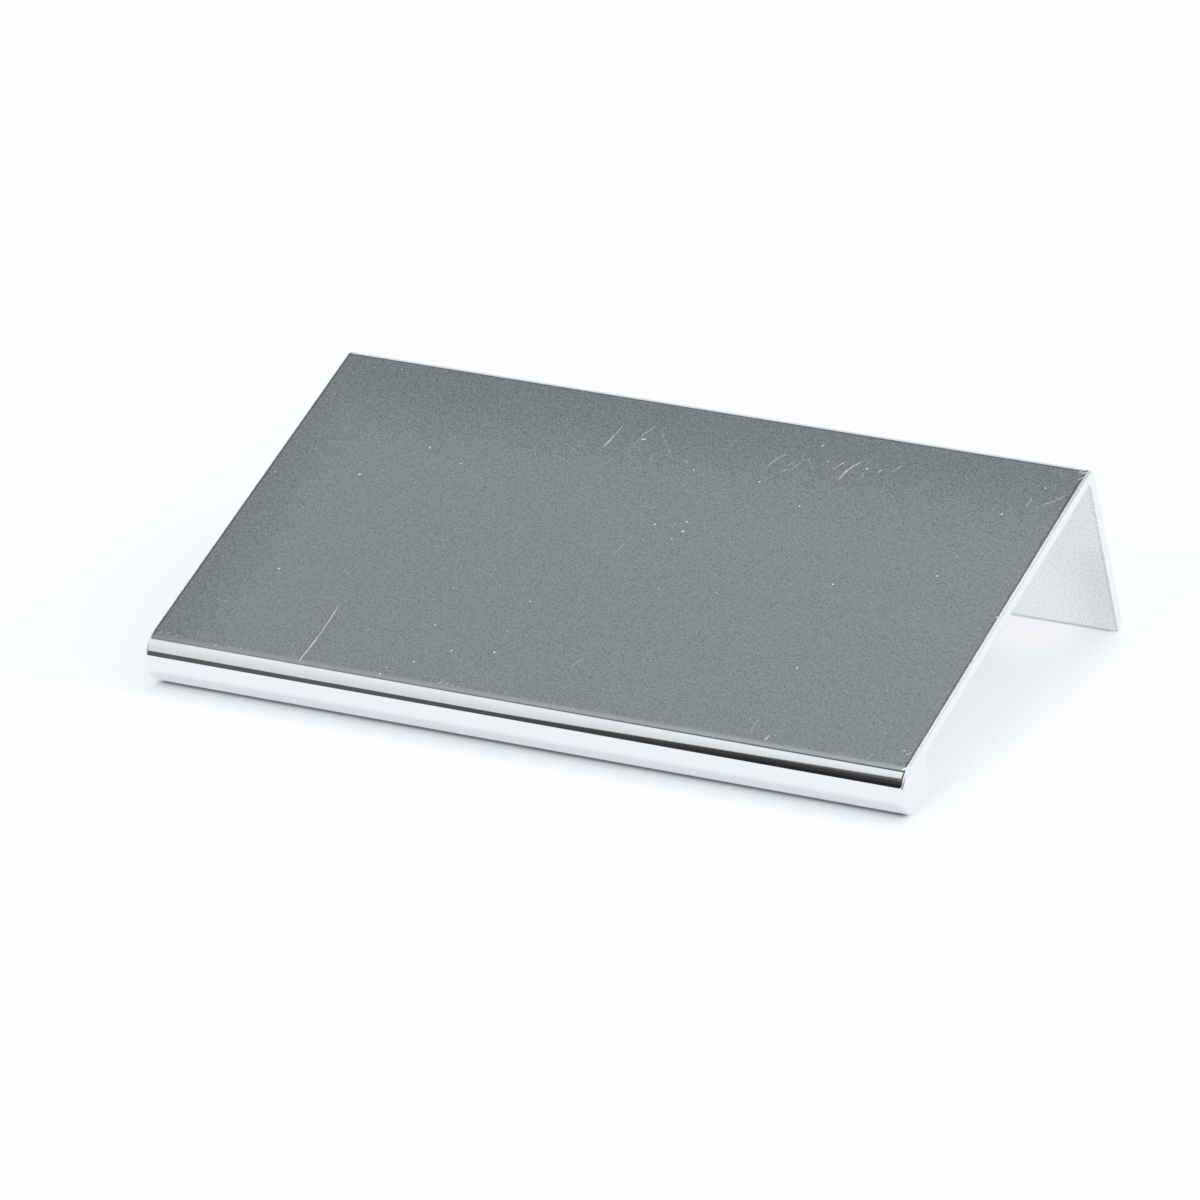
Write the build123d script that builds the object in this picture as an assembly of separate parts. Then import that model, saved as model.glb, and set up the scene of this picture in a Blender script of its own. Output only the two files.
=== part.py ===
from build123d import *
import math
import os

# Edge pull for a drawer or cabinet door: one extruded length of metal with a broad grip plate,
# a round bead along the plate's front edge and a screw flange turned down at its back.
# The plate lies over the top edge of the drawer front and the flange hangs behind it.
# Millimetres. X runs along the pull, the bead looks towards -Y and +Z is up.
# The origin is midway between the two screw holes, on the flange face that meets the wood.

# Driving dimensions
pull_length = 80.0  # end face to end face
pull_depth = 46.0  # flange's rear face to the bead's nose
flange_height = 20.0  # plate's top face to the flange's foot
plate_thickness = 1.5
flange_thickness = 1.5
bead_diameter = 5.5  # its top is level with the plate's top face
bend_radius = 1.25  # outside of the corner between plate and flange
inner_corner_radius = 0.3  # inside of that corner
bead_root_radius = 0.5  # where the bead's back meets the plate's underside
foot_radius = 0.4  # both edges of the flange's foot
end_round = 0.25  # softened edge all round the two cut ends
screw_spacing = 64.0  # hole centre to hole centre
screw_drop = 8.0  # plate's underside down to the hole centres
screw_hole_diameter = 4.0
screw_land = 0.5  # straight wall left at the wood side of each hole
countersink_angle = 90.0

# Levels and faces that follow from them
underside_z = screw_drop
top_z = underside_z + plate_thickness
foot_z = top_z - flange_height
wood_y = 0.0
rear_y = wood_y + flange_thickness
nose_y = rear_y - pull_depth
bead_radius = bead_diameter / 2
bead_y = nose_y + bead_radius
bead_z = top_z - bead_radius
countersink_depth = flange_thickness - screw_land
countersink_spread = countersink_depth * math.tan(math.radians(countersink_angle / 2))


def corner(sketch, y, z):
    """The vertex of the section that lies nearest to a point."""
    return sketch.vertices().sort_by_distance((y, z))[0]


def section():
    """The pull's cross-section, drawn with its depth across and its height up the page."""
    with BuildSketch() as profile:
        with Locations(((rear_y + bead_y) / 2, (top_z + underside_z) / 2)):
            Rectangle(rear_y - bead_y, plate_thickness)
        with Locations(((rear_y + wood_y) / 2, (top_z + foot_z) / 2)):
            Rectangle(flange_thickness, flange_height)
        with Locations((bead_y, bead_z)):
            Circle(bead_radius)
    return profile.sketch


def softened_section():
    """The cross-section with its bend, its two inside corners and its foot rounded."""
    shape = section()
    rise = underside_z - bead_z
    root_y = bead_y + (bead_radius**2 - rise**2) ** 0.5
    shape = fillet(corner(shape, rear_y, top_z), bend_radius)
    shape = fillet(corner(shape, wood_y, underside_z), inner_corner_radius)
    shape = fillet(corner(shape, root_y, underside_z), bead_root_radius)
    for y in (wood_y, rear_y):
        shape = fillet(corner(shape, y, foot_z), foot_radius)
    return shape


def screw_hole():
    """One countersunk hole, bored along its own Z from the rear face's level downwards."""
    return CounterSinkHole(
        radius=screw_hole_diameter / 2,
        counter_sink_radius=screw_hole_diameter / 2 + countersink_spread,
        depth=flange_thickness,
        counter_sink_angle=countersink_angle,
    )


def edge_pull():
    """The finished pull: the section run along X, its ends softened and its flange bored."""
    body = extrude(Plane.YZ * softened_section(), pull_length / 2, both=True)
    ends = body.faces().sort_by(Axis.X)
    body = fillet(ends[0].edges() + ends[-1].edges(), end_round)
    rear_face = Plane(origin=(0, rear_y, 0), x_dir=(-1, 0, 0), z_dir=(0, 1, 0))
    for hole_place in GridLocations(screw_spacing, 1, 2, 1):
        body -= rear_face * hole_place * screw_hole()
    return body


os.makedirs("parts", exist_ok=True)
export_step(edge_pull(), "parts/edge_pull.step")
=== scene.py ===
"""A polished edge pull for a drawer or cabinet door, lying face up on a pale studio table."""

import math
from collections import namedtuple
from functools import reduce
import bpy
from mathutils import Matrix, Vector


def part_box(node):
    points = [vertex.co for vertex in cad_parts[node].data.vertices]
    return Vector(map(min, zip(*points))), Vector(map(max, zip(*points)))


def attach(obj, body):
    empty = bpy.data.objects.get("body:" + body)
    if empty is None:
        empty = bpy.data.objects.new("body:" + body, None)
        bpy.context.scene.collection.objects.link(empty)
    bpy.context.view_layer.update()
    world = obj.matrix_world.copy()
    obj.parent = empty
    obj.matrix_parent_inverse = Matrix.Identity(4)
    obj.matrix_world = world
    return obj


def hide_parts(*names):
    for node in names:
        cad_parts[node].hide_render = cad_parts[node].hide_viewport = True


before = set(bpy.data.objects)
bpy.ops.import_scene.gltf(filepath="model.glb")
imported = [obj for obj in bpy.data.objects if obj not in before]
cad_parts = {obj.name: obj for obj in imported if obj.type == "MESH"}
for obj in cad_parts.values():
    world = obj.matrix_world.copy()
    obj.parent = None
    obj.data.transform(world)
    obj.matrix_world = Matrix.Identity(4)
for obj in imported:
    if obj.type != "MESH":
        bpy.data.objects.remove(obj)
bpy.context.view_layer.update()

from types import SimpleNamespace

import bmesh
import bpy
from bpy.props import FloatProperty, FloatVectorProperty, PointerProperty
from mathutils import Matrix, Quaternion, Vector

bl_info = {
    "name": "Edge pull",
    "version": (1, 0, 0),
    "blender": (4, 5, 0),
    "location": "View3D > Sidebar > Edge pull",
    "description": "Models and finishes a polished edge pull on a pale studio table",
    "category": "Object",
}

MM = 0.001
CAD_NODE = "edge_pull"
CAD_LOW, CAD_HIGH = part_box(CAD_NODE)

# Facets of each rounding
BEAD_STEPS = 120
BEND_STEPS = 14
ROOT_STEPS = 12
SMALL_CORNER_STEPS = 8
END_STEPS = 5
HOLE_STEPS = 64
HOLE_EDGE_STEPS = 2

# Width of the faces kept round each screw hole and beside the rounding of each end
HOLE_MARGIN = 1.5 * MM
END_HOLD = 0.15 * MM

# Tolerances for points that are one, faces that lie on a plane and normals that lie along an axis,
# and the share of X that the normal of a cut end has at least
SAME_POINT = 1e-7
ON_PLANE = 1e-6
ALONG_AXIS = 1e-4
END_FACING = 0.999

# How far the satin inside reaches: forwards past the bead's root, outwards past the inner faces, and
# how far it keeps from the bead's surface
ROOT_REACH = 0.1 * MM
INSIDE_REACH = 0.26 * MM
BEAD_SKIN = 0.02 * MM

# Material slots of the pull
POLISHED, SATIN, CUT_END, BORED = range(4)

# Wear on the plate's top, in millimetres along and across the pull.
# A scratch runs from start to end, bows sideways and is brightest where its strength is 1.
Scratch = namedtuple("Scratch", "start end bow strength half_width", defaults=(0.075,))
SCRATCHES = (
    # Long scratch at the front left, deepest at its near end
    Scratch((-23.7, -42.7), (-23.55, -33.8), -0.2, 0.65),
    Scratch((-23.7, -42.7), (-23.42, -38.6), -0.04, 0.9),
    # Pair at the back, left of the middle
    Scratch((-8.3, -7.1), (-7.65, -3.1), -0.1, 0.5),
    Scratch((-8.2, -6.9), (-7.85, -4.9), -0.05, 0.9),
    Scratch((-5.3, -6.4), (-5.2, -4.7), 0.0, 0.3),
    Scratch((-5.25, -4.8), (-4.45, -2.8), 0.0, 0.55),
    Scratch((-5.03, -4.97), (-4.49, -4.88), 0.0, 1.0, 0.12),
    Scratch((-3.8, -2.9), (-1.1, -6.3), -0.15, 0.25),
    # Single hairlines in the middle
    Scratch((4.2, -4.15), (4.35, -2.8), 0.0, 0.25),
    Scratch((-0.4, -21.7), (0.4, -18.6), 0.05, 0.25),
    Scratch((3.6, -16.4), (3.7, -15.5), 0.0, 0.3),
    Scratch((2.6, -37.3), (3.3, -35.6), 0.05, 0.3),
    Scratch((-19.2, -37.1), (-19.0, -36.7), 0.0, 0.5),
    # Cluster at the back, right of the middle
    Scratch((9.0, -6.2), (10.3, -3.65), 0.3, 0.6),
    Scratch((10.6, -6.4), (11.05, -5.8), 0.0, 0.45),
    Scratch((10.85, -5.4), (11.35, -4.5), 0.0, 0.45),
    Scratch((11.45, -5.85), (11.95, -4.55), 0.0, 0.4),
    Scratch((11.65, -3.85), (12.3, -4.5), 0.0, 0.3),
    Scratch((12.25, -3.7), (13.65, -5.4), 0.0, 0.25),
    Scratch((15.4, -4.95), (16.15, -3.6), 0.0, 0.5),
    Scratch((15.85, -4.05), (16.15, -3.6), 0.0, 0.8),
    Scratch((16.55, -6.2), (17.0, -4.5), 0.0, 0.8),
    Scratch((16.65, -5.2), (17.9, -3.0), 0.1, 0.9),
    Scratch((18.4, -3.25), (18.6, -2.45), 0.0, 0.3),
    Scratch((18.7, -5.5), (18.7, -4.65), 0.0, 0.3),
    Scratch((20.0, -4.3), (20.15, -3.8), 0.0, 0.9),
    Scratch((21.2, -4.05), (21.9, -2.75), 0.0, 0.5),
    Scratch((18.05, -0.35), (18.5, 0.35), 0.0, 0.3),
    # Back right corner
    Scratch((36.1, -5.8), (36.1, -4.3), 0.0, 0.6),
    Scratch((37.3, -5.0), (39.1, -3.2), -0.3, 0.6),
    Scratch((38.3, -3.6), (38.45, -4.0), 0.0, 0.4),
    Scratch((37.1, 0.1), (37.8, -0.9), 0.0, 0.3),
    # Front right
    Scratch((23.4, -41.4), (23.4, -39.2), 0.0, 0.3),
    Scratch((25.2, -42.1), (25.4, -41.3), 0.0, 0.9),
    Scratch((35.7, -42.1), (36.1, -41.3), 0.0, 0.35),
    Scratch((35.8, -38.6), (36.1, -38.3), 0.0, 0.4),
    Scratch((39.0, -40.9), (39.5, -40.3), 0.0, 0.6),
    Scratch((38.6, -40.4), (38.7, -40.2), 0.0, 1.0),
    # Scuffs along the front
    Scratch((-39.2, -42.1), (-38.9, -41.9), 0.0, 0.5),
    Scratch((-38.4, -42.0), (-38.1, -41.9), 0.0, 0.4),
    Scratch((-37.4, -42.2), (-37.1, -42.0), 0.0, 0.4),
    Scratch((-33.0, -42.5), (-32.7, -42.3), 0.0, 0.5),
    Scratch((-31.5, -42.4), (-31.2, -42.2), 0.0, 0.4),
    Scratch((-30.2, -42.3), (-29.9, -42.1), 0.0, 0.4),
    Scratch((-8.9, -42.3), (-8.6, -41.8), 0.0, 0.6),
    Scratch((-8.1, -42.2), (-8.0, -42.0), 0.0, 0.5),
    Scratch((-7.5, -42.2), (-7.4, -42.0), 0.0, 0.5),
    Scratch((-6.8, -42.3), (-6.7, -42.1), 0.0, 0.5),
    Scratch((-5.5, -42.35), (-5.3, -42.15), 0.0, 0.4),
    Scratch((-3.7, -42.25), (-3.5, -42.05), 0.0, 0.4),
    Scratch((-2.0, -42.05), (-1.8, -41.85), 0.0, 0.4),
    Scratch((5.3, -42.4), (5.5, -42.2), 0.0, 0.4),
)
# Nicks in the plate's right end. The first, at the front corner, is partly a nick and partly a painted
# highlight on the rounding there.
NICKS = (
    Scratch((39.4, -42.65), (40.2, -42.1), 0.0, 1.0, 0.16),
    Scratch((39.0, 0.2), (39.4, 0.35), 0.0, 0.4, 0.16),
    Scratch((39.4, 0.0), (39.8, 0.4), 0.0, 0.5, 0.2),
    Scratch((39.5, -0.9), (39.7, -0.3), 0.0, 0.4, 0.14),
    Scratch((39.6, -21.15), (39.8, -20.85), 0.0, 0.6, 0.14),
)
# How hard the sides and the ends of a scratch are
LINE_EDGE = 1.6
LINE_TAPER = 8.0
# Largest value of t * (1 - t), reached in the middle of a scratch
ARCH_TOP = 0.25

# The clearest specks of dust: where they lie and how bright they are
Speck = namedtuple("Speck", "place strength", defaults=(0.75,))
SPECKS = (
    Speck((-31.8, -30.8)),
    Speck((-30.3, -16.2), 1.0),
    Speck((-25.2, -10.9)),
    Speck((-15.1, -42.3)),
    Speck((-12.9, -34.7), 0.5),
    Speck((-12.6, -40.0), 0.5),
    Speck((-9.7, -37.7)),
    Speck((-5.5, -36.9), 1.0),
    Speck((-5.3, -29.4), 0.5),
    Speck((-2.7, -7.5), 0.4),
    Speck((0.8, -7.0), 0.5),
    Speck((1.8, -16.3), 0.6),
    Speck((2.1, -8.0), 0.5),
    Speck((4.7, -15.2)),
    Speck((4.9, -16.6), 1.0),
    Speck((9.2, -8.2)),
    Speck((13.0, -1.8), 0.6),
    Speck((14.5, -3.9), 0.6),
    Speck((14.5, -10.6)),
    Speck((18.7, -4.0)),
    Speck((22.4, -20.3)),
    Speck((24.0, -32.1), 0.9),
    Speck((31.7, -16.9), 0.6),
    Speck((34.2, -7.2), 0.9),
    Speck((36.8, -2.7)),
)
SPECK_RADIUS = 0.14 * MM
# Share of a speck's radius that is at its brightest
SPECK_CORE = 0.4
# Finer dust at random places
Dust = namedtuple("Dust", "spacing radius strength")
FINE_DUST = (Dust(1.0 * MM, 0.1 * MM, 0.25), Dust(3.1 * MM, 0.13 * MM, 0.35))

# Noise in the finishes: scale per metre, detail, roughness, stretch of the axes and height of its relief
Pattern = namedtuple("Pattern", "scale detail roughness stretch height", defaults=(2.0, 0.5, None, 0.0))
GRAIN = Pattern(6500.0, 1.0)
HAZE = Pattern(55.0, 3.0)
SWELL = Pattern(160.0, 1.0, stretch=(0.35, 1.0, 1.0), height=0.0012 * MM)
DIE_LINES = Pattern(2600.0, stretch=(0.02, 1.0, 1.0), height=0.004 * MM)
MOTTLE = Pattern(420.0, 4.0, 0.65)
SAW_MARKS = Pattern(3800.0, stretch=(1.0, 1.0, 0.04), height=0.001 * MM)
CUT_HAZE = Pattern(300.0)
DRILL_RINGS = Pattern(9000.0, 1.0, stretch=(0.05, 1.0, 0.05), height=0.003 * MM)
NOISE_MIDDLE = 0.5

# In the groups below a pair holds the places between which something comes in, first none and last full.

# Mirror-buffed outside
POLISH = SimpleNamespace(
    level=0.925,  # share of its brightest colour
    top=(0.4 * MM, 0.1 * MM),  # depth below the plate's top, for wear and margins
    flat=(0.05 * MM, 0.02 * MM),  # depth below the plate's top, for the grain
    left_margin=(9 * MM, 0.0),  # distance from the left end, for painted shade along it
    left_shade=0.155,
    back_margin=(17 * MM, 0.0),  # distance from the rear face, for painted shade along it
    back_shade=0.225,
    rim_inside=(0.5 * MM, 0.4 * MM),  # distance from either end, for a painted dark line of shade along it
    rim_outside=(0.2 * MM, 0.26 * MM),  # where that line ends towards the end
    rim_front=(1.1 * MM, 0.6 * MM),  # distance in front of the bead's axis, where it starts
    rim_shade=0.35,
    edge=(0.1 * MM, 0.05 * MM),  # distance from either end, for painted shade at the edge
    edge_shade=0.15,
    scratches=0.65,  # strength of all scratches
    haze=0.02,  # swing of the roughness
)
# Unbuffed inside
SATIN_SKIN = SimpleNamespace(
    level=0.93,
    mottle=0.1,
    grain=0.65,  # share of the outside's grain
    foot_shade_height=(0.4 * MM, 0.15 * MM),  # height above the foot, for painted shade where the foot meets the table
    foot_shade_strength=0.25,
    edge=(0.25 * MM, 0.1 * MM),  # distance from either end, for painted shade at the edge
    edge_shade=0.12,
    near_end=(7 * MM, 0.5 * MM),  # distance from either end, for a wider painted shade
    end_shade=0.05,
    low=(3 * MM, -4 * MM),  # height, for more of that shade lower down
    low_shade=0.1,
    mottle_blur=0.18,
    line_blur=0.1,
)
# Cut ends
CUT_SKIN = SimpleNamespace(level=0.95, haze=0.04, mark_blur=0.06, haze_blur=0.06)
# Screw holes
BORE_SKIN = SimpleNamespace(level=0.9, rings=0.1, roughness=0.24, ring_blur=0.16)

# The room that the metal mirrors. Turns are degrees round the pull's long axis, from the back wall over
# the ceiling to the front. Sides and heights are shares of a unit direction, to the right and upwards.
# An across pair holds a share at the middle and what it gains towards the right.
ROOM = SimpleNamespace(
    middle=-0.4377,  # side that the middle of the pull mirrors
    ceiling_back=37.5,  # turn where the back wall meets the ceiling
    ceiling_soft=1.0,
    glow=(78.0, 98.0),  # turn, for the ceiling's lighter front
    glow_across=(0.17, 1.6),
    front_rim=(103.5, 106.5),  # turn, for the ceiling's dark front edge
    front_rim_across=(0.55, 6.0),
    back_rim=(60.0, 50.0),  # turn, for its dimmer back
    back_rim_shade=0.45,
    dimness_across=(0.1, -1.15),
    backing_foot=(146.0, 154.0),  # turn, from the dim wall down to the dark gap
    gap_foot=(158.0, 167.0),  # turn, for the darkest part of the gap
    gap_fade=(-0.405, -0.46),  # side, for the lighter left part of the gap
    panel_top=111.6,  # turns and side that bound the lit panel
    panel_foot=160.8,
    panel_side=-0.4385,
    panel_slant=0.00175,  # how its side border leans
    panel_top_soft=0.5,
    panel_foot_soft=1.0,
    panel_side_soft=0.003,
    panel_fade=0.22,  # how much it dims towards its foot
    table_line=0.03,  # height where the room ends and the white table starts
    table_slant=0.8,
    table_soft=0.008,
    right_wall=(-0.25, 0.05),  # sides, for the white walls to the right and left
    left_wall=(-0.52, -0.6),
    hall_front=(100.0, 108.0),  # turn and height, for grey in those walls
    hall_height=(0.75, 0.05),
    right_light=(0.1, 0.6),  # side, for the extra fill from the right
    low_light=(0.5, 0.3),  # height and depth, for less fill from the low front
    front_light=(-0.2, -0.6),
    low_front_loss=0.8,
)
# Shadows and glow of the table
TABLE = SimpleNamespace(
    line=(1.1 * MM, 0.6 * MM),  # distance from the bead's contact, for the line that the metal mirrors
    line_shade=0.34,
    line_gain=0.41,  # what that shade gains towards the right
    line_span=(-32 * MM, -4 * MM),  # place along the pull, for that gain
    core=(1.65 * MM, 0.75 * MM),  # distance from the contact, for the shadow that the camera sees
    core_shade=0.5,
    halo=(2.8 * MM, 0.8 * MM),  # the same for its soft border
    halo_shade=0.4,
    in_front=(-0.3 * MM, -0.85 * MM),  # depth behind the contact: it lies in front
    foot=(0.6 * MM, 0.25 * MM),  # distance from the foot's contact
    foot_shade=0.3,
    ends=(0.05 * MM, 1.1 * MM),  # distance from the pull's ends, for all these shadows
    bounce=(-14 * MM, -3 * MM),  # depth behind the foot, for light that the flange throws on the table
    bounce_stop=(0.4 * MM, -0.4 * MM),
    bounce_ends=(0.5 * MM, 6 * MM),  # distance from the pull's ends
    bounce_gain=0.22,
    open_mirror=(2.8 * MM, 4.2 * MM),  # distance from the bead's contact, for a stronger mirrored glow
    open_gain=0.6,
    clear_front=(3.5 * MM, 5.3 * MM),  # distance in front of the bead's contact, for plain white
    clear_right=(-0.5 * MM, 4.5 * MM),  # past the right end
    clear_left=(14 * MM, 26 * MM),  # past the left end
    clear_back=(6 * MM, 30 * MM),  # behind the foot
)
# Camera
SENSOR_WIDTH = 36.0
CLIP_START = 0.01
CLIP_END = 20.0


class PullSizes(bpy.types.PropertyGroup):
    """Sizes of the pull. Its overall box comes from the frame."""

    plate_thickness: FloatProperty(
        name="Plate thickness", description="Thickness of the grip plate",
        default=1.5 * MM, unit="LENGTH",
    )
    flange_thickness: FloatProperty(
        name="Flange thickness", description="Thickness of the screw flange",
        default=1.5 * MM, unit="LENGTH",
    )
    bead_diameter: FloatProperty(
        name="Bead diameter", description="Round bead along the front edge",
        default=5.5 * MM, unit="LENGTH",
    )
    bend_radius: FloatProperty(
        name="Bend radius", description="Outside corner of plate and flange",
        default=1.25 * MM, unit="LENGTH",
    )
    inner_corner_radius: FloatProperty(
        name="Inner corner", description="Inside corner of plate and flange",
        default=0.3 * MM, unit="LENGTH",
    )
    bead_root_radius: FloatProperty(
        name="Bead root", description="Hollow where the bead meets the underside",
        default=0.5 * MM, unit="LENGTH",
    )
    foot_radius: FloatProperty(
        name="Foot radius", description="Both edges of the flange's foot",
        default=0.4 * MM, unit="LENGTH",
    )
    end_round: FloatProperty(
        name="End rounding", description="Softened edge round the cut ends",
        default=0.25 * MM, unit="LENGTH",
    )
    screw_spacing: FloatProperty(
        name="Screw spacing", description="Between the two hole centres",
        default=64.0 * MM, unit="LENGTH",
    )
    screw_hole_diameter: FloatProperty(
        name="Screw hole", description="Diameter of the screw holes",
        default=4.0 * MM, unit="LENGTH",
    )
    screw_land: FloatProperty(
        name="Screw land", description="Straight wall below the countersink",
        default=0.5 * MM, unit="LENGTH",
    )
    countersink_angle: FloatProperty(
        name="Countersink", description="Full angle of the cone",
        default=math.radians(90), subtype="ANGLE",
    )
    hole_break: FloatProperty(
        name="Hole edge", description="Broken edge at the mouths of the holes",
        default=0.06 * MM, unit="LENGTH",
    )


class PullFinish(bpy.types.PropertyGroup):
    """Colours and gloss of the metal."""

    polished_colour: FloatVectorProperty(
        name="Polished metal", description="Brightest colour of the buffed outside",
        default=(0.957, 0.968, 1.0), subtype="COLOR", min=0.0, max=1.0,
    )
    satin_colour: FloatVectorProperty(
        name="Satin metal", description="Brightest colour of the unbuffed inside",
        default=(0.968, 0.97, 1.0), subtype="COLOR", min=0.0, max=1.0,
    )
    cut_colour: FloatVectorProperty(
        name="Cut metal", description="Brightest colour of the cut ends",
        default=(0.957, 0.945, 0.975), subtype="COLOR", min=0.0, max=1.0,
    )
    dust_colour: FloatVectorProperty(
        name="Dust", description="Colour of dust and of bare scratches",
        default=(0.92, 0.93, 0.94), subtype="COLOR", min=0.0, max=1.0,
    )
    polished_roughness: FloatProperty(
        name="Polished roughness", description="Blur of the buffed outside",
        default=0.025, subtype="FACTOR",
    )
    satin_roughness: FloatProperty(
        name="Satin roughness", description="Blur of the unbuffed inside",
        default=0.36, subtype="FACTOR",
    )
    cut_roughness: FloatProperty(
        name="Cut roughness", description="Blur of the cut ends",
        default=0.14, subtype="FACTOR",
    )
    scratch_roughness: FloatProperty(
        name="Scratch roughness", description="Blur of scratches and dust",
        default=0.8, subtype="FACTOR",
    )
    grain: FloatProperty(
        name="Grain", description="Strength of the fine speckle in the metal",
        default=1.6, subtype="FACTOR",
    )


class PullStudio(bpy.types.PropertyGroup):
    """Camera, table and light."""

    aim: FloatVectorProperty(
        name="Aim", description="Point at the middle of the view",
        default=(-3.40 * MM, -20.69 * MM, 2.62 * MM), subtype="TRANSLATION",
    )
    distance: FloatProperty(
        name="Distance", description="Camera to aim",
        default=0.85263, unit="LENGTH",
    )
    azimuth: FloatProperty(
        name="Azimuth", description="Turn of the camera round the pull",
        default=math.radians(33.931), subtype="ANGLE",
    )
    elevation: FloatProperty(
        name="Elevation", description="Camera above the plate",
        default=math.radians(39.397), subtype="ANGLE",
    )
    roll: FloatProperty(
        name="Roll", description="Turn about the view axis",
        default=math.radians(-13.386), subtype="ANGLE",
    )
    lens: FloatProperty(name="Lens", description="Focal length in millimetres", default=267.5)
    table_size: FloatProperty(name="Table", description="Side of the table", default=5.0, unit="LENGTH")
    table_colour: FloatVectorProperty(
        name="Table colour", description="Paper of the table",
        default=(0.915, 0.975, 1.0), subtype="COLOR", min=0.0, max=1.0,
    )
    wall_colour: FloatVectorProperty(
        name="Wall colour", description="White walls of the studio",
        default=(0.973, 0.982, 1.0), subtype="COLOR", min=0.0, max=1.0,
    )
    ceiling_colour: FloatVectorProperty(
        name="Ceiling colour", description="Grey ceiling that the plate mirrors",
        default=(0.295, 0.332, 0.34), subtype="COLOR", min=0.0, max=1.0,
    )
    panel_colour: FloatVectorProperty(
        name="Panel colour", description="Lit panel over the front left",
        default=(0.9, 0.935, 0.932), subtype="COLOR", min=0.0, max=1.0,
    )
    gap_colour: FloatVectorProperty(
        name="Gap colour", description="Dark room between panel and table",
        default=(0.05, 0.044, 0.038), subtype="COLOR", min=0.0, max=1.0,
    )
    low_gap_colour: FloatVectorProperty(
        name="Low gap colour", description="The same room just over the table",
        default=(0.02, 0.021, 0.026), subtype="COLOR", min=0.0, max=1.0,
    )
    dim_gap_colour: FloatVectorProperty(
        name="Dim gap colour", description="The same room farther left",
        default=(0.108, 0.11, 0.108), subtype="COLOR", min=0.0, max=1.0,
    )
    backing_colour: FloatVectorProperty(
        name="Backing colour", description="Dim wall beside the panel",
        default=(0.125, 0.12, 0.112), subtype="COLOR", min=0.0, max=1.0,
    )
    fill: FloatProperty(
        name="Fill light", description="Level of the soft light all round",
        default=0.76,
    )
    right_fill: FloatProperty(
        name="Right fill", description="Extra share of fill from the right",
        default=0.9,
    )
    key: FloatProperty(name="Key light", description="Strength of the overhead lamp", default=0.5)
    key_spread: FloatProperty(
        name="Key spread", description="Apparent size of the lamp",
        default=math.radians(20), subtype="ANGLE",
    )
    key_lean: FloatProperty(
        name="Key lean", description="Lean of the lamp towards the back",
        default=math.radians(10), subtype="ANGLE",
    )
    table_glow: FloatProperty(
        name="Table glow", description="Share of the table that shows plain white near the pull",
        default=0.6, subtype="FACTOR",
    )
    mirrored_glow: FloatProperty(
        name="Mirrored glow", description="The same share where metal mirrors the table",
        default=0.56, subtype="FACTOR",
    )
    mirrored_colour: FloatVectorProperty(
        name="Mirrored table", description="Glow of the table where metal mirrors it",
        default=(0.95, 0.99, 1.0), subtype="COLOR", min=0.0, max=1.0,
    )
    # Painted contact shadow: the dark colour of the table where the pull touches it
    contact_shadow_colour: FloatVectorProperty(
        name="Contact colour", description="Glow of the table where the pull touches it",
        default=(0.04, 0.09, 0.13), subtype="COLOR", min=0.0, max=1.0,
    )


class Signal:
    """One output in a node tree. Arithmetic on it adds Math nodes there."""

    def __init__(self, paint, socket):
        self.paint = paint
        self.socket = socket

    def _math(self, operation, first, second=0.0, clamp=False):
        settings = {"operation": operation, "use_clamp": clamp}
        return self.paint.node("ShaderNodeMath", settings, {0: first, 1: second})

    def __add__(self, other):
        return self._math("ADD", self, other)

    __radd__ = __add__

    def __sub__(self, other):
        return self._math("SUBTRACT", self, other)

    def __rsub__(self, other):
        return self._math("SUBTRACT", other, self)

    def __mul__(self, other):
        return self._math("MULTIPLY", self, other)

    __rmul__ = __mul__

    def __neg__(self):
        return 0.0 - self

    def __abs__(self):
        return self._math("ABSOLUTE", self)

    def largest(self, other):
        """The larger of two numbers."""
        return self._math("MAXIMUM", self, other)

    def clamped(self):
        """The number held between 0 and 1."""
        return self._math("ADD", self, 0.0, clamp=True)

    def rise(self, low, high):
        """A soft step from 0 at low to 1 at high; it falls where low is the greater."""
        if low > high:
            return 1 - self.rise(high, low)
        sockets = {"Value": self, "From Min": low, "From Max": high}
        return self.paint.node("ShaderNodeMapRange", {"interpolation_type": "SMOOTHSTEP"}, sockets)

    def edge(self, place, softness):
        """A soft step up about a place; it falls where the softness is negative."""
        return self.rise(place - softness, place + softness)


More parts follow.
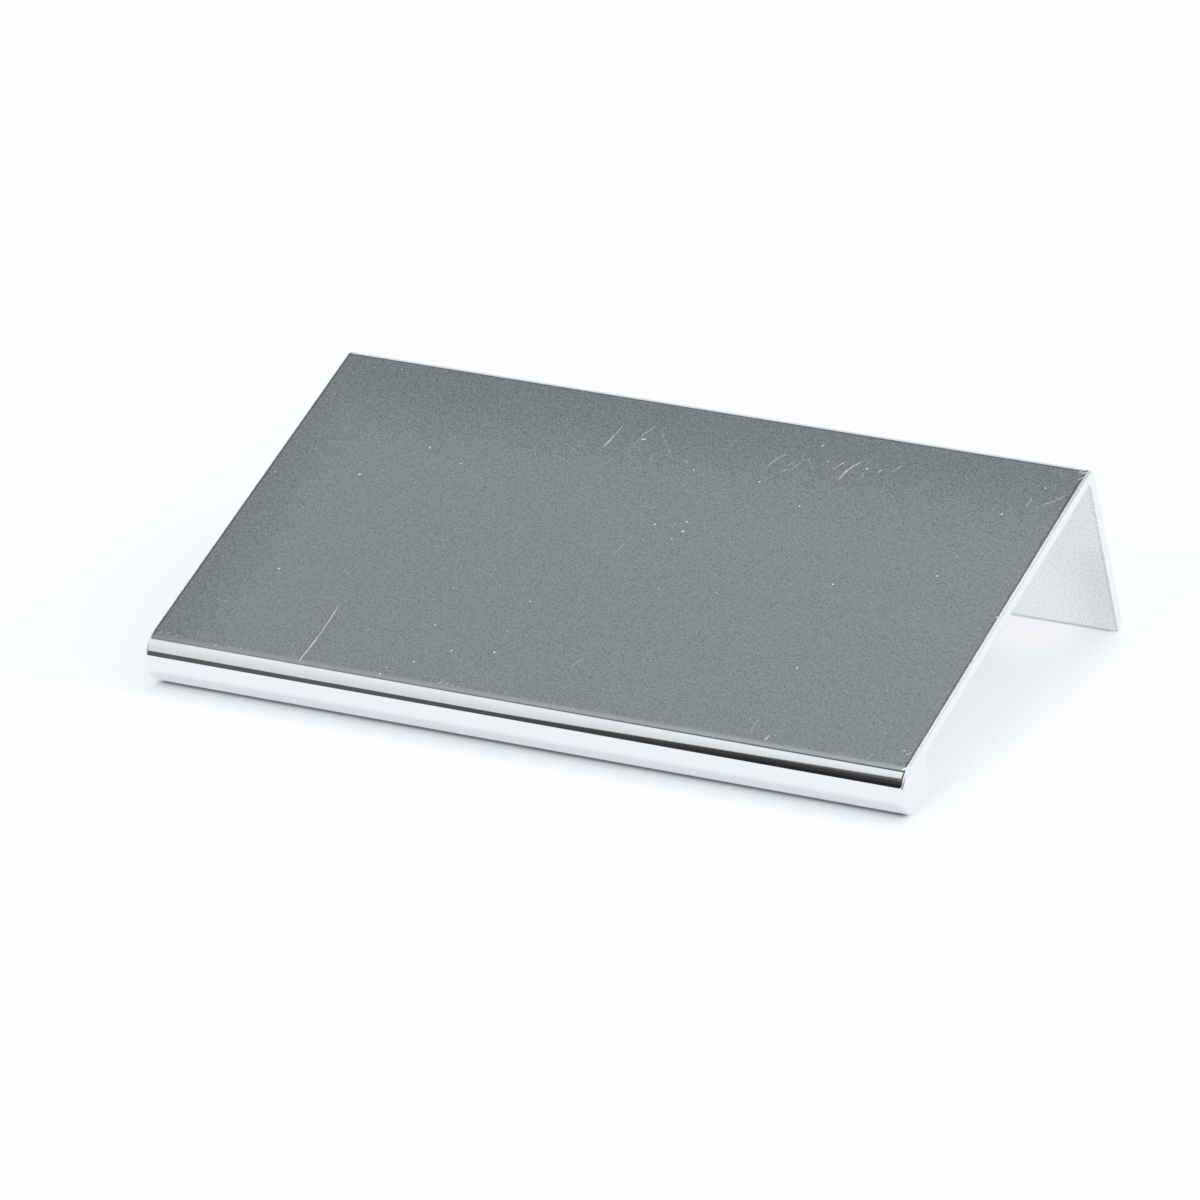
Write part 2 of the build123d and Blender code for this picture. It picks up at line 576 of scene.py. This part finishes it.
class Paint:
    """Builds one node tree, of a material or of the world."""

    def __init__(self, owner):
        owner.use_nodes = True
        self.tree = owner.node_tree
        self.tree.nodes.clear()

    def node(self, kind, settings=None, sockets=None, output=0):
        """Adds a node, sets it up, fills or links its sockets and returns one of its outputs."""
        made = self.tree.nodes.new(kind)
        for name, value in (settings or {}).items():
            setattr(made, name, value)
        for name, value in (sockets or {}).items():
            if isinstance(value, Signal):
                self.tree.links.new(value.socket, made.inputs[name])
            else:
                made.inputs[name].default_value = value
        return Signal(self, made.outputs[output]) if made.outputs else None

    def ray(self, kind):
        """1 for rays of one kind."""
        return self.node("ShaderNodeLightPath", output=kind)

    def place(self):
        """Object coordinates as one vector."""
        return self.node("ShaderNodeTexCoord", output="Object")

    def parts(self, vector):
        """The three numbers of a vector."""
        split = self.node("ShaderNodeSeparateXYZ", {}, {0: vector})
        return [Signal(self, socket) for socket in split.socket.node.outputs]

    def along(self, vector, direction):
        """How far a vector reaches along a fixed direction."""
        sockets = {0: vector, 1: direction}
        return self.node("ShaderNodeVectorMath", {"operation": "DOT_PRODUCT"}, sockets, "Value")

    def noise(self, vector, pattern):
        """Soft noise from 0 to 1 about a half."""
        if pattern.stretch:
            vector = self.node("ShaderNodeMapping", {}, {"Vector": vector, "Scale": pattern.stretch})
        names = {"Scale": pattern.scale, "Detail": pattern.detail, "Roughness": pattern.roughness}
        return self.node("ShaderNodeTexNoise", {}, {"Vector": vector, **names})

    def specks(self, vector, dust):
        """Specks scattered at random, brightest at their middle."""
        sockets = {"Vector": vector, "Scale": 1 / dust.spacing}
        distance = self.node("ShaderNodeTexVoronoi", {"feature": "F1"}, sockets, "Distance")
        radius = dust.radius / dust.spacing
        return distance.rise(radius, SPECK_CORE * radius) * dust.strength

    def blend(self, share, first, second):
        """Colours mixed from first to second by a share."""
        sockets = {0: share, 6: first, 7: second}
        return self.node("ShaderNodeMix", {"data_type": "RGBA"}, sockets, 2)

    def shaded(self, share, colour):
        """A colour darkened to a share of itself."""
        return self.blend(share, (0.0, 0.0, 0.0, 1.0), rgba(colour))

    def bump(self, noise, pattern):
        """Normals tilted by a pattern's relief."""
        sockets = {"Height": noise, "Distance": pattern.height, "Strength": 1.0}
        return self.node("ShaderNodeBump", {}, sockets)

    def metal(self, **sockets):
        """Finishes a material with one shader; names are the shader's sockets with _ for a space."""
        named = {name.replace("_", " "): value for name, value in sockets.items()}
        shader = self.node("ShaderNodeBsdfPrincipled", {}, named)
        self.node("ShaderNodeOutputMaterial", {}, {"Surface": shader})


def rgba(colour):
    """A colour property as the four numbers that a colour socket takes."""
    return (*colour, 1.0)


def scratch_mask(paint, place, scratch):
    """One scratch: a thin bowed line that tapers at both ends."""
    start = Vector(scratch.start) * MM
    run = (Vector(scratch.end) - Vector(scratch.start)) * MM
    half_width = scratch.half_width * MM
    sockets = {
        "Vector": place,
        "Location": (*start, 0.0),
        "Rotation": (0.0, 0.0, math.atan2(run.y, run.x)),
        "Scale": (run.length, half_width, 1.0),
    }
    local = paint.node("ShaderNodeMapping", {"vector_type": "TEXTURE"}, sockets)
    along, across, _ = paint.parts(local)
    arch = along * (1 - along)
    bow_in_widths = scratch.bow * MM / (ARCH_TOP * half_width)
    line = (LINE_EDGE - LINE_EDGE * abs(across - arch * bow_in_widths)).clamped()
    taper = (arch * LINE_TAPER).clamped()
    return line * taper * scratch.strength


def speck_mask(paint, place, level, speck):
    """One round speck on the plate's top."""
    middle = (speck.place[0] * MM, speck.place[1] * MM, level.top)
    sockets = {0: place, 1: middle}
    distance = paint.node("ShaderNodeVectorMath", {"operation": "DISTANCE"}, sockets, "Value")
    return distance.rise(SPECK_RADIUS, SPECK_CORE * SPECK_RADIUS) * speck.strength


def strongest(masks):
    """The largest of several masks at each point."""
    return reduce(Signal.largest, masks)


def polished_metal(finish, level):
    """Mirror-buffed outside: fine grain, scratches and dust, with painted shade in dimmer margins and
    along the ends.
    """
    material = bpy.data.materials.new("polished metal")
    paint = Paint(material)
    place = paint.place()
    x, y, z = paint.parts(place)
    below_top = level.top - z
    from_end = level.half_length - abs(x)
    on_top = below_top.rise(*POLISH.top)
    on_flat = below_top.rise(*POLISH.flat)
    scratches = strongest(scratch_mask(paint, place, scratch) for scratch in SCRATCHES)
    nicks = strongest(scratch_mask(paint, place, nick) for nick in NICKS)
    specks = strongest(speck_mask(paint, place, level, speck) for speck in SPECKS)
    dust = strongest(paint.specks(place, dust) for dust in FINE_DUST)
    wear = strongest((POLISH.scratches * scratches, nicks, specks, dust)) * on_top
    # Painted shade: the plate's top is darkened towards its left end and its rear face
    left_margin = POLISH.left_shade * (x + level.half_length).rise(*POLISH.left_margin)
    back_margin = POLISH.back_shade * (level.rear - y).rise(*POLISH.back_margin)
    # Painted shade: a dark line along each end of the plate's top, and a dimmer very edge
    rim = from_end.rise(*POLISH.rim_inside) * from_end.rise(*POLISH.rim_outside)
    rim = rim * (level.bead.y - y).rise(*POLISH.rim_front)
    grain = paint.noise(place, GRAIN) - NOISE_MIDDLE
    shade = 1 - on_top * (left_margin.largest(back_margin) + POLISH.rim_shade * rim)
    shade = shade * (1 + finish.grain * on_flat * grain)
    shade = POLISH.level * shade * (1 - POLISH.edge_shade * on_top * from_end.rise(*POLISH.edge))
    colour = paint.blend(wear, paint.shaded(shade, finish.polished_colour), rgba(finish.dust_colour))
    haze = paint.noise(place, HAZE) - NOISE_MIDDLE
    rough = (finish.polished_roughness + POLISH.haze * haze).largest(finish.scratch_roughness * wear)
    normal = paint.bump(paint.noise(place, SWELL), SWELL)
    paint.metal(Base_Color=colour, Metallic=1 - wear, Roughness=rough, Normal=normal)
    return material


def satin_metal(finish, level):
    """Unbuffed inside: fine mottling, faint lines left along the length by the die, and painted shade at
    the foot and towards the ends.
    """
    material = bpy.data.materials.new("satin metal")
    paint = Paint(material)
    place = paint.place()
    x, _, z = paint.parts(place)
    from_end = level.half_length - abs(x)
    die_lines = paint.noise(place, DIE_LINES)
    mottle = paint.noise(place, MOTTLE)
    grain = paint.noise(place, GRAIN) - NOISE_MIDDLE
    shade = SATIN_SKIN.level + SATIN_SKIN.mottle * mottle + SATIN_SKIN.grain * finish.grain * grain
    # Painted shade: darker towards both ends, more so lower down, and at the very edges
    end_shade = SATIN_SKIN.end_shade + SATIN_SKIN.low_shade * z.rise(*SATIN_SKIN.low)
    shade = shade * (1 - end_shade * from_end.rise(*SATIN_SKIN.near_end))
    # Painted shade just above the foot, where it meets the table
    shade = shade * (1 - SATIN_SKIN.foot_shade_strength * (z - level.foot).rise(*SATIN_SKIN.foot_shade_height))
    shade = shade * (1 - SATIN_SKIN.edge_shade * from_end.rise(*SATIN_SKIN.edge))
    colour = paint.shaded(shade, finish.satin_colour)
    rough = finish.satin_roughness + SATIN_SKIN.mottle_blur * (mottle - NOISE_MIDDLE)
    rough = rough + SATIN_SKIN.line_blur * (die_lines - NOISE_MIDDLE)
    normal = paint.bump(die_lines, DIE_LINES)
    paint.metal(Base_Color=colour, Metallic=1.0, Roughness=rough, Normal=normal)
    return material


def cut_metal(finish):
    """Cut ends: lightly polished, with fine upright marks of the saw."""
    material = bpy.data.materials.new("cut metal")
    paint = Paint(material)
    place = paint.place()
    saw_marks = paint.noise(place, SAW_MARKS)
    haze = paint.noise(place, CUT_HAZE)
    rough = finish.cut_roughness + CUT_SKIN.mark_blur * (saw_marks - NOISE_MIDDLE)
    rough = rough + CUT_SKIN.haze_blur * (haze - NOISE_MIDDLE)
    colour = paint.shaded(CUT_SKIN.level + CUT_SKIN.haze * haze, finish.cut_colour)
    normal = paint.bump(saw_marks, SAW_MARKS)
    paint.metal(Base_Color=colour, Metallic=1.0, Roughness=rough, Normal=normal)
    return material


def bored_metal(finish):
    """Screw holes: bright metal with the drill's fine rings."""
    material = bpy.data.materials.new("bored metal")
    paint = Paint(material)
    rings = paint.noise(paint.place(), DRILL_RINGS)
    rough = BORE_SKIN.roughness + BORE_SKIN.ring_blur * rings
    colour = paint.shaded(BORE_SKIN.level + BORE_SKIN.rings * rings, finish.polished_colour)
    normal = paint.bump(rings, DRILL_RINGS)
    paint.metal(Base_Color=colour, Metallic=1.0, Roughness=rough, Normal=normal)
    return material


def levels(sizes):
    """Heights and depths of the section's lines, worked out from the frame and the sizes."""
    bead_radius = sizes.bead_diameter / 2
    under = CAD_HIGH.z - sizes.plate_thickness
    bead_y = CAD_LOW.y + bead_radius
    bead_z = CAD_HIGH.z - bead_radius
    root_z = under - sizes.bead_root_radius
    root_reach = bead_radius + sizes.bead_root_radius
    return SimpleNamespace(
        half_length=CAD_HIGH.x,
        top=CAD_HIGH.z,
        under=under,
        foot=CAD_LOW.z,
        rear=CAD_HIGH.y,
        wood=CAD_HIGH.y - sizes.flange_thickness,
        bead_radius=bead_radius,
        bead=Vector((0.0, bead_y, bead_z)),
        root=Vector((0.0, bead_y + math.sqrt(root_reach**2 - (root_z - bead_z) ** 2), root_z)),
    )


def rest_slope(sizes, level):
    """Slope of the table that carries the bead and the flange's foot, rising towards the back."""
    foot_y = level.wood + sizes.foot_radius
    foot_z = level.foot + sizes.foot_radius
    span = Vector((foot_y - level.bead.y, foot_z - level.bead.z))
    lean = math.asin((sizes.foot_radius - level.bead_radius) / span.length)
    return math.atan2(span.y, span.x) - lean


def run_straight(bm, vert, y, z):
    """Runs the outline on from a vertex to a depth and a height."""
    end = bmesh.ops.extrude_vert_indiv(bm, verts=[vert])["verts"][0]
    bmesh.ops.translate(bm, verts=[end], vec=(0.0, y - vert.co.y, z - vert.co.z))
    return end


def run_round(bm, vert, y, z, angle, steps):
    """Runs the outline on from a vertex along an arc about a centre."""
    centre = (vert.co.x, y, z)
    arc = bmesh.ops.spin(bm, geom=[vert], cent=centre, axis=(1.0, 0.0, 0.0), angle=angle, steps=steps)
    return next(item for item in arc["geom_last"] if isinstance(item, bmesh.types.BMVert))


def draw_section(bm, sizes, level):
    """Draws the closed outline at the left end, from the bead's crown round to the plate's top."""
    quarter = math.radians(90)
    half = math.radians(180)
    inner = sizes.inner_corner_radius
    foot = sizes.foot_radius
    bend = sizes.bend_radius
    root_turn = math.atan2(level.root.z - level.bead.z, level.root.y - level.bead.y)
    crown = bm.verts.new((-level.half_length, level.bead.y, level.top))
    end = run_round(bm, crown, level.bead.y, level.bead.z, 3 * quarter + root_turn, BEAD_STEPS)
    end = run_round(bm, end, level.root.y, level.root.z, quarter - half - root_turn, ROOT_STEPS)
    end = run_straight(bm, end, level.wood - inner, level.under)
    end = run_round(bm, end, level.wood - inner, level.under - inner, -quarter, SMALL_CORNER_STEPS)
    end = run_straight(bm, end, level.wood, level.foot + foot)
    end = run_round(bm, end, level.wood + foot, level.foot + foot, quarter, SMALL_CORNER_STEPS)
    end = run_straight(bm, end, level.rear - foot, level.foot)
    end = run_round(bm, end, level.rear - foot, level.foot + foot, quarter, SMALL_CORNER_STEPS)
    end = run_straight(bm, end, level.rear, level.top - bend)
    end = run_round(bm, end, level.rear - bend, level.top - bend, quarter, BEND_STEPS)
    bm.edges.new((end, crown))


def extrude_section(bm, sizes, level):
    """Fills the outline, runs it along the pull and softens both cut ends."""
    face = bmesh.ops.contextual_create(bm, geom=bm.edges[:])["faces"][0]
    ran = bmesh.ops.extrude_face_region(bm, geom=[face], use_keep_orig=True)["geom"]
    far = [item for item in ran if isinstance(item, bmesh.types.BMVert)]
    bmesh.ops.translate(bm, verts=far, vec=(2 * level.half_length, 0.0, 0.0))
    rims = [edge for edge in bm.edges if abs(edge.verts[0].co.x - edge.verts[1].co.x) < level.half_length]
    bmesh.ops.bevel(
        bm, geom=rims, offset=sizes.end_round, offset_type="OFFSET", segments=END_STEPS, profile=0.5,
        affect="EDGES", clamp_overlap=False, material=-1,
    )
    hold = level.half_length - sizes.end_round - END_HOLD
    for x in (-hold, hold):
        split_at(bm, bm.faces[:], (x, 0.0, 0.0), (1.0, 0.0, 0.0))


def on_flange(face, y):
    """Whether a face lies flat on the flange at a depth."""
    return abs(face.calc_center_median().y - y) < ON_PLANE and abs(abs(face.normal.y) - 1) < ALONG_AXIS


def split_at(bm, faces, point, direction):
    """Cuts faces along a plane."""
    parts = dict.fromkeys(faces)
    for face in faces:
        parts.update(dict.fromkeys(face.edges))
        parts.update(dict.fromkeys(face.verts))
    bmesh.ops.bisect_plane(bm, geom=list(parts), dist=SAME_POINT, plane_co=point, plane_no=direction)


def ring(bm, x, y, radius):
    """The edges of a circle that faces front and back."""
    turn = Matrix.Translation((x, y, 0.0)) @ Matrix.Rotation(math.radians(90), 4, "X")
    made = bmesh.ops.create_circle(bm, cap_ends=False, segments=HOLE_STEPS, radius=radius, matrix=turn)
    return list(dict.fromkeys(edge for vert in made["verts"] for edge in vert.link_edges))


def bore_hole(bm, sizes, level, x):
    """Opens one countersunk screw hole through the flange."""
    hole_radius = sizes.screw_hole_diameter / 2
    sink_depth = sizes.flange_thickness - sizes.screw_land
    sink_radius = hole_radius + sink_depth * math.tan(sizes.countersink_angle / 2)
    reach = sink_radius + HOLE_MARGIN
    for side in (-reach, reach):
        split_at(bm, bm.faces[:], (x + side, 0.0, 0.0), (1.0, 0.0, 0.0))
    for side in (-reach, reach):
        flats = [face for face in bm.faces if on_flange(face, level.wood) or on_flange(face, level.rear)]
        near = [face for face in flats if abs(face.calc_center_median().x - x) < reach]
        split_at(bm, near, (0.0, 0.0, side), (0.0, 0.0, 1.0))
    mouths = {}
    for y in (level.wood, level.rear):
        middle = Vector((x, y, 0.0))
        patch = min(bm.faces, key=lambda face: (face.calc_center_median() - middle).length)
        mouths[y] = list(patch.edges)
        bmesh.ops.delete(bm, geom=[patch], context="FACES_ONLY")
    front = ring(bm, x, level.wood, hole_radius)
    land = ring(bm, x, level.wood + sizes.screw_land, hole_radius)
    back = ring(bm, x, level.rear, sink_radius)
    bmesh.ops.triangle_fill(bm, use_beauty=True, edges=mouths[level.wood] + front)
    bmesh.ops.triangle_fill(bm, use_beauty=True, edges=mouths[level.rear] + back)
    walls = bmesh.ops.bridge_loops(bm, edges=front + land)["faces"]
    walls += bmesh.ops.bridge_loops(bm, edges=land + back)["faces"]
    for face in walls:
        face.material_index = BORED
    bmesh.ops.recalc_face_normals(bm, faces=bm.faces[:])
    broken = bmesh.ops.bevel(
        bm, geom=front + back, offset=sizes.hole_break, offset_type="OFFSET", segments=HOLE_EDGE_STEPS,
        profile=0.5, affect="EDGES", clamp_overlap=True, material=-1,
    )
    for face in broken["faces"]:
        face.material_index = BORED


def finish_of(face, level):
    """The material slot of a face: outside, inside or cut end."""
    middle = face.calc_center_median()
    if face.material_index == BORED:
        return BORED
    if abs(face.normal.x) > END_FACING:
        return CUT_END
    behind_root = middle.y > level.root.y - ROOT_REACH
    inside = middle.y < level.wood + INSIDE_REACH and middle.z < level.under + INSIDE_REACH
    off_bead = (middle - level.bead).yz.length > level.bead_radius + BEAD_SKIN
    return SATIN if behind_root and inside and off_bead else POLISHED


def pull_mesh(sizes, level):
    """The whole pull as one closed mesh."""
    bm = bmesh.new()
    draw_section(bm, sizes, level)
    extrude_section(bm, sizes, level)
    bmesh.ops.recalc_face_normals(bm, faces=bm.faces[:])
    for side in (-0.5, 0.5):
        bore_hole(bm, sizes, level, side * sizes.screw_spacing)
    bmesh.ops.remove_doubles(bm, verts=bm.verts[:], dist=SAME_POINT)
    bmesh.ops.recalc_face_normals(bm, faces=bm.faces[:])
    for face in bm.faces:
        face.smooth = True
        face.material_index = finish_of(face, level)
    faults = [edge for edge in bm.edges if not edge.is_contiguous]
    if faults:
        raise RuntimeError(f"the pull's mesh has {len(faults)} open or twisted edges")
    mesh = bpy.data.meshes.new("polished_pull")
    bm.to_mesh(mesh)
    bm.free()
    return mesh


class PULL_OT_add_pull(bpy.types.Operator):
    """Models the pull, finishes its surfaces and puts it in place of the plain solid."""

    bl_idname = "pull.add_pull"
    bl_label = "Add the pull"

    def execute(self, context):
        sizes = context.scene.pull_sizes
        finish = context.scene.pull_finish
        level = levels(sizes)
        pull = bpy.data.objects.new("polished_pull", pull_mesh(sizes, level))
        context.scene.collection.objects.link(pull)
        for material in (
            polished_metal(finish, level),
            satin_metal(finish, level),
            cut_metal(finish),
            bored_metal(finish),
        ):
            pull.data.materials.append(material)
        normals = pull.modifiers.new("flat faces stay flat", "WEIGHTED_NORMAL")
        normals.mode = "FACE_AREA"
        normals.keep_sharp = True
        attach(pull, "root")
        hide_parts(CAD_NODE)
        return {"FINISHED"}


def table_material(studio, level, slope, contacts):
    """Matt white paper that glows to the eye and in the metal, with painted contact shadows and painted
    light from the flange, seen only from its upper side.
    """
    material = bpy.data.materials.new("table paper")
    paint = Paint(material)
    place = paint.place()
    x, _, _ = paint.parts(place)
    back = Vector((0.0, math.cos(slope), math.sin(slope)))
    depth = paint.along(place, back)
    from_bead, from_foot = (depth - contact.dot(back) for contact in contacts)
    near_bead = abs(from_bead)
    from_end = level.half_length - abs(x)
    camera_ray = paint.ray("Is Camera Ray")
    # Painted contact shadows: near the bead's and the foot's contact the table's glow and paper turn to
    # the contact shadow colour
    line_shade = TABLE.line_shade + TABLE.line_gain * x.rise(*TABLE.line_span)
    mirrored_touch = near_bead.rise(*TABLE.line) * line_shade
    core = TABLE.core_shade * near_bead.rise(*TABLE.core)
    halo = TABLE.halo_shade * near_bead.rise(*TABLE.halo)
    seen_touch = (core + halo) * from_bead.rise(*TABLE.in_front)
    touch = mirrored_touch + camera_ray * (seen_touch - mirrored_touch)
    foot_touch = TABLE.foot_shade * abs(from_foot).rise(*TABLE.foot)
    touch = touch.largest(foot_touch) * from_end.rise(*TABLE.ends)
    untouched = paint.blend(camera_ray, rgba(studio.mirrored_colour), rgba(studio.wall_colour))
    glow = paint.blend(touch, untouched, rgba(studio.contact_shadow_colour))
    tint = paint.blend(touch, rgba(studio.table_colour), rgba(studio.contact_shadow_colour))
    paper = paint.node("ShaderNodeBsdfDiffuse", {}, {"Color": tint})
    white = paint.node("ShaderNodeEmission", {}, {"Color": glow})
    # Painted light: the table glows brighter in front of the flange, for light that the flange throws
    # back on it
    bounce = from_foot.rise(*TABLE.bounce) * from_foot.rise(*TABLE.bounce_stop)
    bounce = bounce * from_end.rise(*TABLE.bounce_ends)
    unshaded = strongest((
        (-from_bead).rise(*TABLE.clear_front),
        from_foot.rise(*TABLE.clear_back),
        (x - level.half_length).rise(*TABLE.clear_right),
        (-x - level.half_length).rise(*TABLE.clear_left),
    ))
    seen = studio.table_glow + (1 - studio.table_glow) * unshaded + TABLE.bounce_gain * bounce
    mirrored = studio.mirrored_glow * (1 + TABLE.open_gain * near_bead.rise(*TABLE.open_mirror))
    shown = (seen * camera_ray).largest(mirrored * paint.ray("Is Glossy Ray"))
    lit = paint.node("ShaderNodeMixShader", {}, {0: shown, 1: paper, 2: white})
    clear = paint.node("ShaderNodeBsdfTransparent")
    below = paint.node("ShaderNodeNewGeometry", output="Backfacing")
    surface = paint.node("ShaderNodeMixShader", {}, {0: below, 1: lit, 2: clear})
    paint.node("ShaderNodeOutputMaterial", {}, {"Surface": surface})
    return material


def add_table(scene, studio, sizes, level, slope):
    """The table, tilted so that the bead and the foot rest on it."""
    up = Vector((0.0, -math.sin(slope), math.cos(slope)))
    bead_contact = level.bead - level.bead_radius * up
    foot_centre = Vector((0.0, level.wood + sizes.foot_radius, level.foot + sizes.foot_radius))
    contacts = (bead_contact, foot_centre - sizes.foot_radius * up)
    bm = bmesh.new()
    bmesh.ops.create_grid(bm, x_segments=1, y_segments=1, size=studio.table_size / 2)
    bmesh.ops.rotate(bm, verts=bm.verts[:], cent=(0.0, 0.0, 0.0), matrix=Matrix.Rotation(slope, 3, "X"))
    bmesh.ops.translate(bm, verts=bm.verts[:], vec=bead_contact)
    mesh = bpy.data.meshes.new("table")
    bm.to_mesh(mesh)
    bm.free()
    mesh.materials.append(table_material(studio, level, slope, contacts))
    table = bpy.data.objects.new("table", mesh)
    scene.collection.objects.link(table)


def paint_studio(scene, studio, slope):
    """The room: plain white to the eye and as light, and mirrored by metal with its ceiling and panel."""
    world = bpy.data.worlds.new("studio")
    scene.world = world
    world.cycles.sampling_method = "NONE"
    paint = Paint(world)
    direction = paint.node("ShaderNodeTexCoord", output="Generated")
    side = paint.along(direction, (1.0, 0.0, 0.0))
    back = paint.along(direction, (0.0, math.cos(slope), math.sin(slope)))
    up = paint.along(direction, (0.0, -math.sin(slope), math.cos(slope)))
    turn = paint.node("ShaderNodeMath", {"operation": "ARCTAN2"}, {0: up, 1: back}) * math.degrees(1.0)
    wall = rgba(studio.wall_colour)
    gap = rgba(studio.gap_colour)
    off_middle = side - ROOM.middle

    def across(at_middle, gain):
        """A share that changes evenly from left to right."""
        return at_middle + gain * off_middle

    glow = turn.rise(*ROOM.glow) * across(*ROOM.glow_across)
    ceiling = paint.blend(glow.clamped(), rgba(studio.ceiling_colour), wall)
    front_rim = across(*ROOM.front_rim_across) * turn.rise(*ROOM.front_rim)
    back_rim = ROOM.back_rim_shade * turn.rise(*ROOM.back_rim)
    dimness = strongest((across(*ROOM.dimness_across), front_rim, back_rim))
    ceiling = paint.blend(dimness.clamped(), ceiling, gap)
    dark = paint.blend(turn.rise(*ROOM.gap_foot), gap, rgba(studio.low_gap_colour))
    dark = paint.blend(side.rise(*ROOM.gap_fade), dark, rgba(studio.dim_gap_colour))
    front = paint.blend(turn.rise(*ROOM.backing_foot), rgba(studio.backing_colour), dark)
    below_ceiling = turn.edge(ROOM.panel_top, ROOM.panel_top_soft)
    room = paint.blend(turn.edge(ROOM.ceiling_back, ROOM.ceiling_soft), wall, ceiling)
    room = paint.blend(below_ceiling, room, front)
    panel_fade = ROOM.panel_fade * turn.rise(ROOM.panel_top, ROOM.panel_foot)
    lit = paint.blend(panel_fade, rgba(studio.panel_colour), gap)
    panel_edge = side + (turn - ROOM.panel_foot) * ROOM.panel_slant
    panel = panel_edge.edge(ROOM.panel_side, -ROOM.panel_side_soft) * below_ceiling
    panel = panel * turn.edge(ROOM.panel_foot, -ROOM.panel_foot_soft)
    room = paint.blend(panel, room, lit)
    low = (up - ROOM.table_slant * off_middle).edge(ROOM.table_line, -ROOM.table_soft)
    room = paint.blend(low, room, wall)
    hall = turn.rise(*ROOM.hall_front) * up.rise(*ROOM.hall_height)
    hall = paint.blend(hall, wall, rgba(studio.ceiling_colour))
    room = paint.blend(side.rise(*ROOM.right_wall).largest(side.rise(*ROOM.left_wall)), room, hall)
    low_front = up.rise(*ROOM.low_light) * back.rise(*ROOM.front_light)
    fill = studio.fill * (1 + studio.right_fill * side.rise(*ROOM.right_light))
    fill = fill * (1 - ROOM.low_front_loss * low_front)
    light = paint.blend(paint.ray("Is Camera Ray"), fill, wall)
    seen = paint.blend(paint.ray("Is Glossy Ray"), light, room)
    shown = paint.node("ShaderNodeBackground", {}, {"Color": seen})
    paint.node("ShaderNodeOutputWorld", {}, {"Surface": shown})


def add_lamp(scene, studio, slope):
    """One soft lamp over the table, a little to its back and kept out of the mirror of the metal."""
    lamp = bpy.data.lights.new("soft lamp", "SUN")
    lamp.energy = studio.key
    lamp.angle = studio.key_spread
    holder = bpy.data.objects.new("soft lamp", lamp)
    holder.rotation_mode = "QUATERNION"
    beam = Matrix.Rotation(slope - studio.key_lean, 3, "X") @ Vector((0.0, 0.0, -1.0))
    holder.rotation_quaternion = beam.to_track_quat("-Z", "Y")
    holder.visible_glossy = False
    scene.collection.objects.link(holder)


def add_camera(scene, studio):
    """The long-lens camera over the pull's right front corner."""
    data = bpy.data.cameras.new("camera")
    data.sensor_width = SENSOR_WIDTH
    data.lens = studio.lens
    data.clip_start = CLIP_START
    data.clip_end = CLIP_END
    level = math.cos(studio.elevation)
    back = Vector((
        math.sin(studio.azimuth) * level,
        -math.cos(studio.azimuth) * level,
        math.sin(studio.elevation),
    ))
    camera = bpy.data.objects.new("camera", data)
    camera.rotation_mode = "QUATERNION"
    camera.location = Vector(studio.aim) + back * studio.distance
    upright = (-back).to_track_quat("-Z", "Y")
    camera.rotation_quaternion = upright @ Quaternion((0.0, 0.0, 1.0), studio.roll)
    scene.collection.objects.link(camera)
    scene.camera = camera


class PULL_OT_set_stage(bpy.types.Operator):
    """Adds the table, the studio's light and the camera."""

    bl_idname = "pull.set_stage"
    bl_label = "Set the stage"

    def execute(self, context):
        scene = context.scene
        studio = scene.pull_studio
        level = levels(scene.pull_sizes)
        slope = rest_slope(scene.pull_sizes, level)
        add_table(scene, studio, scene.pull_sizes, level, slope)
        paint_studio(scene, studio, slope)
        add_lamp(scene, studio, slope)
        add_camera(scene, studio)
        scene.view_settings.view_transform = "Standard"
        return {"FINISHED"}


class PULL_PT_sidebar(bpy.types.Panel):
    """Lists the pull's operators and settings in the 3D view's sidebar."""

    bl_idname = "PULL_PT_sidebar"
    bl_label = "Edge pull"
    bl_space_type = "VIEW_3D"
    bl_region_type = "UI"
    bl_category = "Edge pull"

    def draw(self, context):
        for operator, group in (
            (PULL_OT_add_pull, context.scene.pull_sizes),
            (PULL_OT_add_pull, context.scene.pull_finish),
            (PULL_OT_set_stage, context.scene.pull_studio),
        ):
            box = self.layout.box()
            box.operator(operator.bl_idname)
            for name in group.__annotations__:
                box.prop(group, name)


CLASSES = (PullSizes, PullFinish, PullStudio, PULL_OT_add_pull, PULL_OT_set_stage, PULL_PT_sidebar)


def register():
    """Registers the classes and gives each scene its settings."""
    for cls in CLASSES:
        bpy.utils.register_class(cls)
    bpy.types.Scene.pull_sizes = PointerProperty(type=PullSizes)
    bpy.types.Scene.pull_finish = PointerProperty(type=PullFinish)
    bpy.types.Scene.pull_studio = PointerProperty(type=PullStudio)


def unregister():
    """Takes the settings and classes away again."""
    del bpy.types.Scene.pull_studio
    del bpy.types.Scene.pull_finish
    del bpy.types.Scene.pull_sizes
    for cls in reversed(CLASSES):
        bpy.utils.unregister_class(cls)


def main():
    """Builds the scene."""
    register()
    bpy.ops.pull.add_pull()
    bpy.ops.pull.set_stage()


if __name__ == "__main__":
    main()
